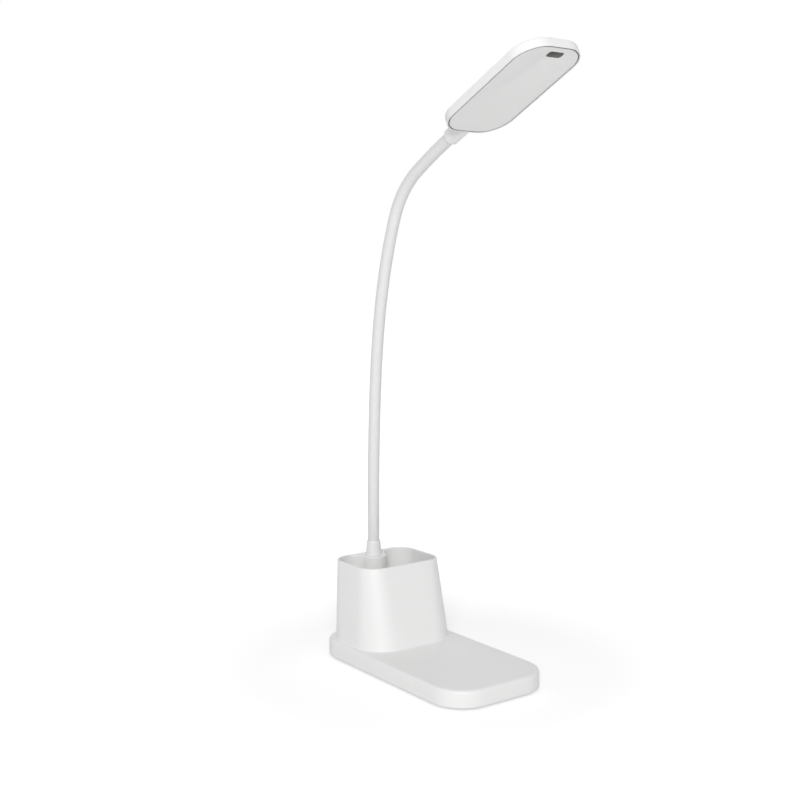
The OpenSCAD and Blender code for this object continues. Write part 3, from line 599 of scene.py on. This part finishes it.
def screw_posts():
    """Posts that hang from the plate's roof round the screws of the cover, the weight and the board."""
    weight_y = -PLATE_BACK + WEIGHT_INSET + WEIGHT_L / 2
    control_y = PLATE_BACK - WALL - 0.3 - CONTROL_L / 2
    end_row, middle_row = PLATE_BACK - COVER_SCREW_INSET, weight_y + WEIGHT_L / 2 + WEIGHT_TO_SCREWS
    corners = [(x, y) for x in (-1, 1) for y in (-1, 1)]

    def at_corners(width, length, inset, y_middle, foot):
        return [(x * (width / 2 - inset), y_middle + y * (length / 2 - inset), foot) for x, y in corners]

    large = [(x * COVER_SCREW_X, y, COVER_TOP) for x in (-1, 1) for y in (-end_row, middle_row, end_row)]
    large += at_corners(WEIGHT_W, WEIGHT_L, WEIGHT_SCREW_INSET, weight_y, WEIGHT_TOP)
    small = at_corners(CONTROL_W, CONTROL_L, CONTROL_SCREW_INSET, control_y, CONTROL_TOP)
    for name, places, bore in (("large_posts", large, SCREW_BORE), ("small_posts", small, SMALL_BORE)):
        lines = [[(x, y, foot), (x, y, ROOF_Z + 0.4)] for x, y, foot in places]
        yield piped(name, lines, "white_shell", bore + POST_WALL, bore)


def cut(piece, bm):
    """Takes a cutter in millimetres out of a piece, and leaves a plain mesh."""
    mesh = bpy.data.meshes.new("cutter")
    bm.to_mesh(mesh)
    bm.free()
    mesh.transform(Matrix.Scale(MM, 4))
    cutter = bpy.data.objects.new("cutter", mesh)
    bpy.context.scene.collection.objects.link(cutter)
    modifier = piece.modifiers.new("cut", "BOOLEAN")
    modifier.operation, modifier.solver, modifier.object = "DIFFERENCE", "EXACT", cutter
    bpy.context.view_layer.update()
    made = bpy.data.meshes.new_from_object(piece.evaluated_get(bpy.context.evaluated_depsgraph_get()))
    piece.modifiers.remove(modifier)
    piece.data = made
    bpy.data.objects.remove(cutter)
    shade(made, 18)


def joined(first, second):
    """Puts the second piece's faces into the first."""
    bm = bmesh.new()
    bm.from_mesh(first.data)
    bm.from_mesh(second.data)
    bm.to_mesh(first.data)
    bm.free()
    bpy.data.objects.remove(second)
    shade(first.data, 18)


base = finished("cup_base", lofted(base_rings()), "white_shell", None)
cut(base, base_cutters())
for posts in screw_posts():
    joined(base, posts)
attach(base, "base")
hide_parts("base_shell")

# ------------------------------------------------------------------ collars

collar_outside = rounded([
    (STEM_R, -STEM_L), (STEM_R, 0), (COLLAR_R, 0), (COLLAR_R, 1.1),
    (COLLAR_TOP_R, COLLAR_H - 0.8), (COLLAR_TOP_R - 0.2, COLLAR_H), (NECK_R + 0.25, COLLAR_H),
], 0.5)
collar = turned(collar_outside + [
    (NECK_R + 0.1, COLLAR_H - 0.2), (NECK_R + 0.1, COLLAR_FLOOR),
    (NECK_BORE, COLLAR_FLOOR), (NECK_BORE, -STEM_L),
])
finished(
    "neck_collar", collar, "white_collar", "base", "lower_collar",
    place=Matrix.Translation((0, NECK_Y, BOSS_TOP)), smooth=40,
)

# ------------------------------------------------------------------ neck


def neck_path(step=0.5):
    """Points along the neck's middle, each with its lean in degrees and its distance from the start."""
    path, y, z, lean, run = [], NECK_Y, NECK_START_Z, 0.0, 0.0
    count = 2 * round(LINK_L / step / 2)
    for bend in LINK_BENDS:
        for _ in range(count):
            path.append((y, z, lean, run))
            middle = math.radians(lean + bend / count / 2)
            y -= LINK_L / count * math.sin(middle)
            z += LINK_L / count * math.cos(middle)
            lean += bend / count
            run += LINK_L / count
    return path + [(y, z, lean, run)]


PATH = neck_path()
END_Y, END_Z, END_LEAN, END_RUN = PATH[-1]
AT_NECK_END = Matrix.Translation((0, END_Y, END_Z)) @ Matrix.Rotation(math.radians(END_LEAN), 4, "X")
RIB_PITCH, RIB_DEPTH = 2.0, 0.06


def sleeve_ring(stop, radius, sides=48):
    y, z, lean, run = stop
    c, s = math.cos(math.radians(lean)), math.sin(math.radians(lean))
    turns = [2 * math.pi * k / sides for k in range(sides)]
    points = [(radius * math.cos(t), radius * math.sin(t)) for t in turns]
    return [(x, y + v * c, z + v * s) for x, v in points]


def sleeve_piece(number, start, end):
    """One stretch of the sleeve, with its shallow ribs outside and its bore inside."""
    stops = [stop for stop in PATH if start - 1e-6 <= stop[3] <= end + 1e-6]
    outside = [
        sleeve_ring(stop, NECK_R - RIB_DEPTH * (0.5 + 0.5 * math.cos(2 * math.pi * stop[3] / RIB_PITCH)))
        for stop in stops
    ]
    inside = [sleeve_ring(stop, NECK_BORE) for stop in reversed(stops)]
    rings = outside + inside
    return finished(
        f"sleeve_{number}", lofted(rings + rings[:1], closed_ends=False), "white_sleeve", None, smooth=60,
    )


# the sleeve runs on straight into the ferrule
PATH_STEP, TAIL_STEPS = PATH[1][3], 19
end_sine, end_cosine = math.sin(math.radians(END_LEAN)), math.cos(math.radians(END_LEAN))
for past in (k * PATH_STEP for k in range(1, TAIL_STEPS + 1)):
    PATH.append((END_Y - past * end_sine, END_Z + past * end_cosine, END_LEAN, END_RUN + past))


def bends_with_neck(piece, joint, node):
    """Bakes a stretch's placement into its mesh, from the middle of one link to the middle of the next, and
    hides the solids it replaces.
    """
    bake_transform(piece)
    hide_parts(*[f"{node}_{n}" for n in ((1, 2) if joint == 1 else (joint + 1,))])


def inner_line(start, end):
    """Points along the neck's middle, run on straight below its start and beyond its end."""
    line = [(0, NECK_Y, NECK_START_Z + start)] if start < 0 else []
    line += [(0, y, z) for y, z, _, run in PATH if start - 1e-6 <= run <= min(end, END_RUN) + 1e-6]
    if end > END_RUN:
        past = end - END_RUN
        line.append((0, END_Y - past * end_sine, END_Z + past * end_cosine))
    return line


HOSE = dict(slot="hose_steel", radius=2.8, bore=1.5, pitch=4 * PATH_STEP, depth=0.3)
LEAD = dict(slot="lead_cover", radius=1.2, sides=16)
# how far the hose and the lead run below the neck's start and beyond its end
HOSE_BELOW, HOSE_BEYOND = STEM_L + COLLAR_FLOOR, FERRULE_L + SPIGOT_L - HOSE_SETBACK
LEAD_BELOW, LEAD_BEYOND = NECK_START_Z - CONTROL_TOP, FERRULE_L + SPIGOT_L + LEAD_REACH
for joint in range(1, 8):
    start, end = (joint - 0.5) * LINK_L, (joint + 0.5) * LINK_L
    first, last = joint == 1, joint == 7
    sleeve = sleeve_piece(joint, 0 if first else start, PATH[-1][3] if last else end)
    bends_with_neck(sleeve, joint, "neck_sleeve")
    for name, node, below, beyond, made in (
        ("wound_hose", "steel_hose", HOSE_BELOW, HOSE_BEYOND, HOSE),
        ("lamp_cord", "lamp_lead", LEAD_BELOW, LEAD_BEYOND, LEAD),
    ):
        line = inner_line(-below if first else start, END_RUN + beyond if last else end)
        piece = piped(f"{name}_{joint}", [line], **made)
        bends_with_neck(piece, joint, node)

# ------------------------------------------------------------------ head

SPIGOT_END = FERRULE_L + SPIGOT_L
ferrule_outside = rounded([
    (NECK_R + 0.2, 0), (NECK_R + 0.4, 0), (FERRULE_R, 1.3), (FERRULE_R, FERRULE_L),
    (SPIGOT_R, FERRULE_L), (SPIGOT_R, SPIGOT_END),
], 0.4)
ferrule = turned(ferrule_outside + [
    (NECK_BORE, SPIGOT_END), (NECK_BORE, FERRULE_SEAT), (NECK_R + 0.1, FERRULE_SEAT), (NECK_R + 0.1, 0.2),
])
finished("head_ferrule_ring", ferrule, "white_collar", "head", "head_ferrule", place=AT_NECK_END, smooth=40)

AT_HEAD = AT_NECK_END @ Matrix.Rotation(math.radians(-90), 4, "X") @ Matrix.Translation(
    (0, -HEAD_L / 2 - FERRULE_L, -NECK_RISE)
)
HEAD_BACK = HEAD_L / 2
CROWN_FROM, CROWN_TO = 0.8, 17.2
EDGE_R, EDGE_Z = 1.4, 5.285
HUMP_R, HUMP_L, HUMP_FILLET = 7.6, 22.0, 1.5


def crown_z(inset, start=CROWN_FROM, drop=0.05):
    """Height of the head's back at a distance from its outline."""
    share = min(max((inset - start) / (CROWN_TO - start), -0.02), 1)
    return HEAD_SIDE - drop + CROWN_H * math.sin(math.pi / 2 * share)


def head_outline(inset, z):
    """The head's outline moved in by an inset. At half the width it closes on the middle line."""
    radius = min(max(HEAD_R - inset, 0.4), HEAD_W / 2 - inset)
    half, reach = HEAD_W / 2 - inset - radius, HEAD_L / 2 - inset - radius
    run = []
    for x, y, start in ((1, 1, 0), (-1, 1, 90), (-1, -1, 180), (1, -1, 270)):
        run += arc(x * half, y * reach, radius, start, 90, 24)
    return [(x, y, z) for x, y in run]


def head_rings():
    """From the middle of the ceiling out and down to the lip, then up the side and over the back."""
    rings = [head_outline(inset, crown_z(inset, 2.9, HEAD_WALL)) for inset in spaced(12, HEAD_W / 2, 2.9)]
    rings += [head_outline(HEAD_SEAT, z) for z in (HEAD_SIDE - HEAD_WALL, SEAT_Z)]
    rings += [head_outline(HEAD_LIP, z) for z in (SEAT_Z, 0.25)]
    rings += [head_outline(HEAD_LIP - 0.08, 0.07), head_outline(HEAD_LIP - 0.25, 0)]
    rings += [head_outline(0.3 * rise, 0.3 * (1 - sine)) for rise, sine in reversed(quarter(4))]
    rings += [
        head_outline(EDGE_R + x, EDGE_Z + z) for x, z in arc(0, 0, EDGE_R, 180, -62.7, 8)
    ]
    rings += [head_outline(inset, crown_z(inset)) for inset in spaced(26, CROWN_FROM, CROWN_TO)]
    rings += [head_outline(inset, crown_z(inset)) for inset in (19.0, 22.0, HEAD_W / 2)]
    return rings


def hump_section(radius, level):
    """Half of the hump's section, from its toe on the back up to its top: (distance, height)."""
    rise = level - NECK_RISE + HUMP_FILLET
    out = math.sqrt((radius + HUMP_FILLET) ** 2 - rise ** 2)
    lean = math.degrees(math.atan2(rise, out))
    fillet = arc(out, level + HUMP_FILLET, HUMP_FILLET, 270, lean - 90, 8)
    dome = arc(0, NECK_RISE, radius, lean, 90 - lean, 24)
    toe = [(out - 1.0, level - 0.9), (out + 0.1, level - 0.5), (out + 0.1, level - 0.03)]
    return toe + [(x, z - 0.03) for x, z in fillet] + dome[1:]


def hump_rings():
    """From the hump's flat rear face forwards, and round its nose."""
    edge, stations = 0.5, []
    for rise, sine in quarter(5):
        stations.append((HEAD_BACK - edge * (1 - sine), HUMP_R - edge * rise))
    stations = list(reversed(stations))
    stations += [(y, HUMP_R) for y in spaced(24, HEAD_BACK - 1, HEAD_BACK - HUMP_L)]
    rings = []
    for y, radius in stations:
        inset = HEAD_BACK - y
        level = crown_z(inset) if inset > 0.76 else EDGE_Z + math.sqrt(EDGE_R ** 2 - (EDGE_R - inset) ** 2)
        half = hump_section(radius, level)
        rings.append([(x, y, z) for x, z in half] + [(-x, y, z) for x, z in reversed(half[:-1])])
    half = hump_section(HUMP_R, crown_z(CROWN_TO))
    for turn in spaced(17, 0, 90)[1:]:
        c, s, y = math.cos(math.radians(turn)), math.sin(math.radians(turn)), HEAD_BACK - HUMP_L
        right = [(x * c, y - x * s, z) for x, z in half]
        left = [(-x * c, y - x * s, z) for x, z in reversed(half[:-1])]
        rings.append(right + left)
    return rings


def spigot_passage():
    bm = bmesh.new()
    circle = arc(0, 0, SPIGOT_R + 0.1, 0, 360, 48)[:-1]
    return lofted([[(x, y, NECK_RISE + z) for x, z in circle] for y in (30.0, HEAD_BACK + 1)], bm)


def in_head(bm):
    bmesh.ops.transform(bm, matrix=AT_HEAD, verts=bm.verts)
    return bm


def outline_inset(x, y):
    """How far inside the head's outline a point lies."""
    out_x, out_y = abs(x) - (HEAD_W / 2 - HEAD_R), abs(y) - (HEAD_L / 2 - HEAD_R)
    return HEAD_R - math.hypot(max(out_x, 0), max(out_y, 0)) - min(max(out_x, out_y), 0)


def write_painted_gap_shade(piece, rule):
    """Writes painted shade for the gap round the diffuser on a piece of the head, by a rule on the point in
    the head's own frame.
    """
    back = (Matrix.Scale(MM, 4) @ AT_HEAD).inverted()
    values = piece.data.attributes.new("painted_gap_shade", "FLOAT", "POINT")
    for vert, value in zip(piece.data.vertices, values.data):
        value.value = rule(*(back @ vert.co))


def painted_lip_wall_shade(x, y, z):
    """Painted shade: darker the deeper it lies on the lip's inner wall, where the gap's shade falls."""
    on_wall = 0.2 < z < SEAT_Z + 0.05 and outline_inset(x, y) > HEAD_LIP - 0.1
    return 0.12 + 0.3 * z if on_wall else 0


def painted_rim_edge_shade(x, y, z):
    """Painted shade: dark down the diffuser's edge in the gap, and faint where the edge rounds into its face.
    """
    if outline_inset(x, y) > DIFFUSER_EDGE + 0.3:
        return 0
    return 0.75 if z > 0.3 else 0.2


housing = finished("head_shell", lofted(head_rings(), closed_ends=False), "white_shell", None, place=AT_HEAD)
hump = lofted(hump_rings(), closed_ends=False)
bmesh.ops.holes_fill(hump, edges=hump.edges, sides=0)
hump = finished("neck_hump", hump, "white_shell", None, place=AT_HEAD)
for shell in (housing, hump):
    cut(shell, in_head(spigot_passage()))
joined(housing, hump)
# painted shade on the lip's inner wall, deeper in the gap darker
write_painted_gap_shade(housing, painted_lip_wall_shade)
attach(housing, "head")
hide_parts("head_housing")


def slot_outline(width, height, inset, z):
    """The window's outline with soft corners, matched point for point with the head's."""
    radius = WINDOW_R - inset
    half, reach = width / 2 - WINDOW_R, height / 2 - WINDOW_R
    run = []
    for x, y, start in ((1, 1, 0), (-1, 1, 90), (-1, -1, 180), (1, -1, 270)):
        run += arc(WINDOW[0] + x * half, WINDOW[1] + y * reach, radius, start, 90, 24)
    return [(x, y, z) for x, y in run]


DIFFUSER_EDGE, DIFFUSER_Z, SOFT = HEAD_LIP + 0.8, 0.2, 0.15
WINDOW = (WINDOW_PLACE_X, -HEAD_BACK + WINDOW_INSET)
soft_edge = [(SOFT * rise, DIFFUSER_Z + SOFT * (1 - sine)) for rise, sine in quarter(4)]
rings = [head_outline(DIFFUSER_EDGE + inset, z) for inset, z in soft_edge]
rings.append(head_outline(DIFFUSER_EDGE + 0.9, DIFFUSER_Z))
rings += [slot_outline(*WINDOW_SLOT, -inset, z) for inset, z in reversed(soft_edge)]
rings += [slot_outline(*WINDOW_SLOT, 0, SEAT_Z), head_outline(DIFFUSER_EDGE, SEAT_Z)]
opal = finished(
    "opal_plate", lofted(rings + rings[:1], closed_ends=False), "opal_diffuser", "head", "diffuser",
    place=AT_HEAD, smooth=50,
)
# painted shade down the diffuser's edge in the gap
write_painted_gap_shade(opal, painted_rim_edge_shade)

lens = list(reversed(soft_edge))
lens += [(0, SEAT_Z), (-0.8, SEAT_Z), (-0.8, SEAT_Z + 0.5), (-0.7, SEAT_Z + 0.6)]
finished(
    "touch_lens", lofted([slot_outline(*WINDOW_LENS, inset, z) for inset, z in lens]),
    "smoked_window", "head", "touch_window", place=AT_HEAD, smooth=50,
)

# ------------------------------------------------------------------ stage, light and camera

FLOOR_HALF, FLOOR_PAPER = 6.0, (0.93, 0.93, 0.93)
# the camera alone sees the floor glow, weaker near the lamp so that its shadow stays
GLOW_FROM_TO, GLOW_NEAR_FAR = (0.13, 0.34), (0.34, 0.62)
CAMERA_PLACE, CAMERA_TURN, CAMERA_TILT, CAMERA_LENS = (-0.5466, -0.7010, 0.3055), -36.5, -6.6, 55.26
# from the lamp's left to its right, along which the light fades both ways
LIGHT_ACROSS = (0.8, -0.6, 0.0)


def seen_rays(nodes, links):
    """1 for what the camera sees, also in a reflection or through a clear piece."""
    path = nodes.new("ShaderNodeLightPath")
    total = path.outputs["Is Camera Ray"]
    for other in ("Is Glossy Ray", "Is Transmission Ray"):
        largest = nodes.new("ShaderNodeMath")
        largest.operation = "MAXIMUM"
        links.new(total, largest.inputs[0])
        links.new(path.outputs[other], largest.inputs[1])
        total = largest.outputs[0]
    return total


def chosen(nodes, links, seen, otherwise):
    """One shader for what is seen, and the other for the light that falls on things."""
    mix = nodes.new("ShaderNodeMixShader")
    links.new(seen_rays(nodes, links), mix.inputs["Fac"])
    links.new(otherwise, mix.inputs[1])
    links.new(seen, mix.inputs[2])
    return mix.outputs[0]


def shadow_floor():
    """A pale floor that looks white to the camera and keeps the object's soft shadow."""
    bm = bmesh.new()
    bmesh.ops.create_grid(bm, x_segments=1, y_segments=1, size=FLOOR_HALF)
    mesh = bpy.data.meshes.new("floor")
    bm.to_mesh(mesh)
    bm.free()
    floor = bpy.data.objects.new("floor", mesh)
    bpy.context.scene.collection.objects.link(floor)
    material = bpy.data.materials.new("white_floor")
    material.use_nodes = True
    nodes, links = material.node_tree.nodes, material.node_tree.links
    nodes.clear()
    paper = nodes.new("ShaderNodeBsdfDiffuse")
    paper.inputs["Color"].default_value = (*FLOOR_PAPER, 1)
    glow = nodes.new("ShaderNodeEmission")
    far = nodes.new("ShaderNodeVectorMath")
    far.operation = "LENGTH"
    links.new(nodes.new("ShaderNodeTexCoord").outputs["Object"], far.inputs[0])
    fade = ramp(material.node_tree, far.outputs["Value"], *GLOW_FROM_TO, *GLOW_NEAR_FAR)
    links.new(fade, glow.inputs["Strength"])
    both = nodes.new("ShaderNodeAddShader")
    links.new(paper.outputs[0], both.inputs[0])
    links.new(glow.outputs[0], both.inputs[1])
    surface = chosen(nodes, links, both.outputs[0], paper.outputs[0])
    links.new(surface, nodes.new("ShaderNodeOutputMaterial").inputs["Surface"])
    mesh.materials.append(material)
    floor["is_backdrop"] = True


def white_world(low, high, sides):
    """White to the camera. Its light changes with height, and is weaker from its left and right."""
    world = bpy.data.worlds.new("studio")
    bpy.context.scene.world = world
    world.use_nodes = True
    nodes, links = world.node_tree.nodes, world.node_tree.links
    nodes.clear()
    soft, white = nodes.new("ShaderNodeBackground"), nodes.new("ShaderNodeBackground")
    soft.inputs["Color"].default_value = white.inputs["Color"].default_value = (1, 1, 1, 1)
    direction = nodes.new("ShaderNodeTexCoord").outputs["Generated"]
    place = nodes.new("ShaderNodeSeparateXYZ")
    links.new(direction, place.inputs["Vector"])
    strength = ramp(world.node_tree, place.outputs["Z"], 0.0, 0.8, low, high)
    toward = nodes.new("ShaderNodeVectorMath")
    toward.operation = "DOT_PRODUCT"
    toward.inputs[1].default_value = LIGHT_ACROSS
    links.new(direction, toward.inputs[0])
    for edge, dim in zip((-1.0, 1.0), sides):
        both = nodes.new("ShaderNodeMath")
        both.operation = "MULTIPLY"
        links.new(strength, both.inputs[0])
        links.new(ramp(world.node_tree, toward.outputs["Value"], 0.0, edge, 1.0, dim), both.inputs[1])
        strength = both.outputs[0]
    links.new(strength, soft.inputs["Strength"])
    white.inputs["Strength"].default_value = 1.0
    surface = chosen(nodes, links, white.outputs[0], soft.outputs[0])
    links.new(surface, nodes.new("ShaderNodeOutputWorld").inputs["Surface"])


def softbox(name, place, aim, width, height, power):
    light = bpy.data.lights.new(name, "AREA")
    light.shape, light.size, light.size_y, light.energy = "RECTANGLE", width, height, power
    lamp = bpy.data.objects.new(name, light)
    lamp.location = place
    lamp.rotation_euler = (Vector(aim) - Vector(place)).to_track_quat("-Z", "Y").to_euler()
    bpy.context.scene.collection.objects.link(lamp)


shadow_floor()
white_world(0.59, 0.61, (0.6, 0.42))
softbox("front_box", (-1.05, -1.3, 0.85), (0, 0, 0.2), 0.6, 0.6, 14.6)

camera_data = bpy.data.cameras.new("camera")
camera_data.sensor_width = 36.0
camera_data.lens = CAMERA_LENS
camera = bpy.data.objects.new("camera", camera_data)
camera.location = CAMERA_PLACE
turn, tilt = math.radians(CAMERA_TURN), math.radians(CAMERA_TILT)
look = Vector((-math.sin(turn) * math.cos(tilt), math.cos(turn) * math.cos(tilt), math.sin(tilt)))
camera.rotation_euler = look.to_track_quat("-Z", "Y").to_euler()
bpy.context.scene.collection.objects.link(camera)
bpy.context.scene.camera = camera
bpy.context.scene.view_settings.view_transform = "Standard"

visual_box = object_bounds()
boxes = {"cad": cad_box, "visual": visual_box}
{name: [list(corner) for corner in box] for name, box in boxes.items()}
